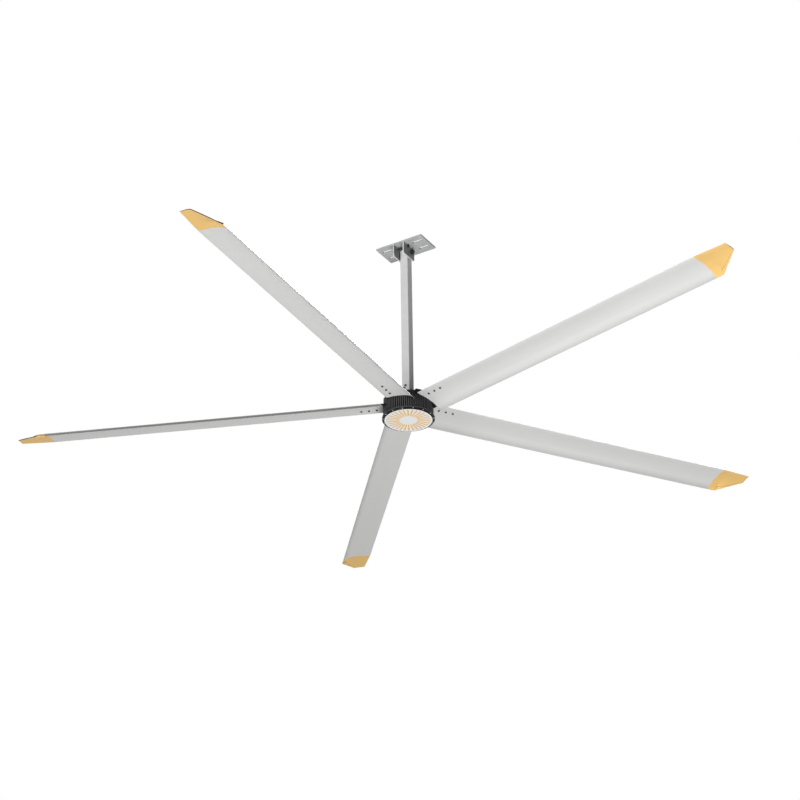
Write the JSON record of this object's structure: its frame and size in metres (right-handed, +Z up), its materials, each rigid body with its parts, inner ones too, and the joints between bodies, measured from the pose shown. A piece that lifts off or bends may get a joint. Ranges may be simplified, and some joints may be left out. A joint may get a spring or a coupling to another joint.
{
  "type": "high volume low speed ceiling fan",
  "caption": "Large slow ceiling fan: slotted ceiling plate with a pivot, square downrod, finned direct-drive motor, long aerofoil blades with angled tip caps.",
  "frame": {"origin": "centre of the ceiling plate's top face, which lies against the ceiling", "axes": "+Z up into the ceiling and along the fan's axis, +X along the plate's long side and the pivot bolt, +Y along its short side"},
  "size_m": [4.5963, 4.4581, 1.206],
  "materials": {
    "arm_black": "black powder coat",
    "bare_aluminium": "cast",
    "bare_steel": "machined",
    "bearing_steel": "polished",
    "black_cast": "black paint",
    "black_plastic": "moulded",
    "blade_white": "white powder coat",
    "bracket_paint": "satin paint",
    "bright_steel": "zinc plated",
    "bush_plastic": "turned",
    "cap_gold": "moulded",
    "coil_copper": "enamelled wire",
    "core_steel": "stacked sheets",
    "dark_steel": "blackened",
    "disc_white": "moulded",
    "downrod_paint": "satin powder coat",
    "drum_black": "black powder coat",
    "magnet_steel": "nickel plated",
    "ray_gold": "moulded",
    "seal_rubber": "moulded",
    "trim_black": "moulded"
  },
  "bodies": {
    "bracket": {"ceiling_plate": "bracket_paint", "ear_left": "bracket_paint", "ear_right": "bracket_paint", "ear_welds": "bracket_paint", "pivot_bolt": "dark_steel", "pivot_nut": "dark_steel", "pivot_washers": "dark_steel", "stop_bolt": "dark_steel", "stop_nut": "dark_steel"},
    "downrod": {"downrod_tube": "downrod_paint", "pivot_bush": "bush_plastic", "shaft_adapter": "black_cast", "adapter_grub_screws": "dark_steel", "cross_bolts": "dark_steel", "cross_nuts": "dark_steel", "cable_gland": "black_plastic", "motor_shaft": "bare_steel", "shaft_locknut": "bare_steel", "bearing_upper_inner": "bearing_steel", "bearing_lower_inner": "bearing_steel", "stator_carrier": "bare_aluminium", "stator_core": "core_steel", "stator_coils": "coil_copper"},
    "rotor": {"arm_bolts": "bright_steel", "bearing_lower_balls": "bearing_steel", "bearing_lower_outer": "bearing_steel", "bearing_upper_balls": "bearing_steel", "bearing_upper_outer": "bearing_steel", "blade_1": "blade_white", "blade_2": "blade_white", "blade_3": "blade_white", "blade_4": "blade_white", "blade_5": "blade_white", "blade_arm_1": "arm_black", "blade_arm_2": "arm_black", "blade_arm_3": "arm_black", "blade_arm_4": "arm_black", "blade_arm_5": "arm_black", "blade_bolts": "dark_steel", "bottom_cover": "drum_black", "cap_screws": "bright_steel", "cover_screws": "bright_steel", "front_disc": "disc_white", "magnets": "magnet_steel", "motor_drum": "drum_black", "shaft_seal": "seal_rubber", "sun_rays": "ray_gold", "tip_cap_1": "cap_gold", "tip_cap_2": "cap_gold", "tip_cap_3": "cap_gold", "tip_cap_4": "cap_gold", "tip_cap_5": "cap_gold", "top_cover": "drum_black", "trim_ring": "trim_black", "trim_screws": "bright_steel"}
  },
  "joints": [
    {"name": "downrod_swing", "type": "hinge", "parent": "bracket", "child": "downrod", "pos_m": [0, 0, -0.043], "axis": [1, 0, 0], "range_deg": [-15, 15]},
    {"name": "rotor_spin", "type": "hinge", "parent": "downrod", "child": "rotor", "pos_m": [0, 0, -1.13], "axis": [0, 0, 1], "continuous": true}
  ]
}
